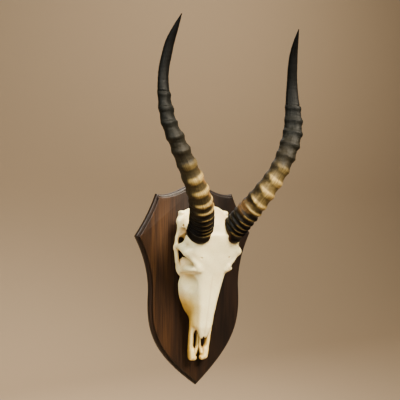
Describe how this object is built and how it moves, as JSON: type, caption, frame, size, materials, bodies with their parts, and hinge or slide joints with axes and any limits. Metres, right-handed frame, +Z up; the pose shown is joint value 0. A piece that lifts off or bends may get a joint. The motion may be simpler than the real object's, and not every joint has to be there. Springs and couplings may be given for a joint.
{
  "type": "mounted antelope skull trophy",
  "caption": "Wall trophy: jawless antelope skull, hung nose down on a moulded wooden shield, with ringed horns that sweep up and out and curve forward at their tips.",
  "frame": {"origin": "middle of the shield's back face, which lies on the wall", "axes": "+Z up along the shield, from its point to its peak; +Y into the wall; +X to the right as the trophy is faced"},
  "size_m": [0.2931, 0.1741, 0.6784],
  "materials": {
    "walnut": "dark walnut stain under a satin lacquer, nearly black on the moulded edge",
    "bone": "dry bleached bone, cream, yellower down the cheeks and the snout",
    "horn": "ringed keratin, satin black at the tip, olive brown lower down with straw coloured ridges",
    "tooth": "yellowed enamel"
  },
  "bodies": {
    "root": {"shield": "walnut", "skull": "bone", "horn_left": "horn", "horn_right": "horn", "tooth_row_left": "tooth", "tooth_row_right": "tooth"}
  },
  "joints": []
}
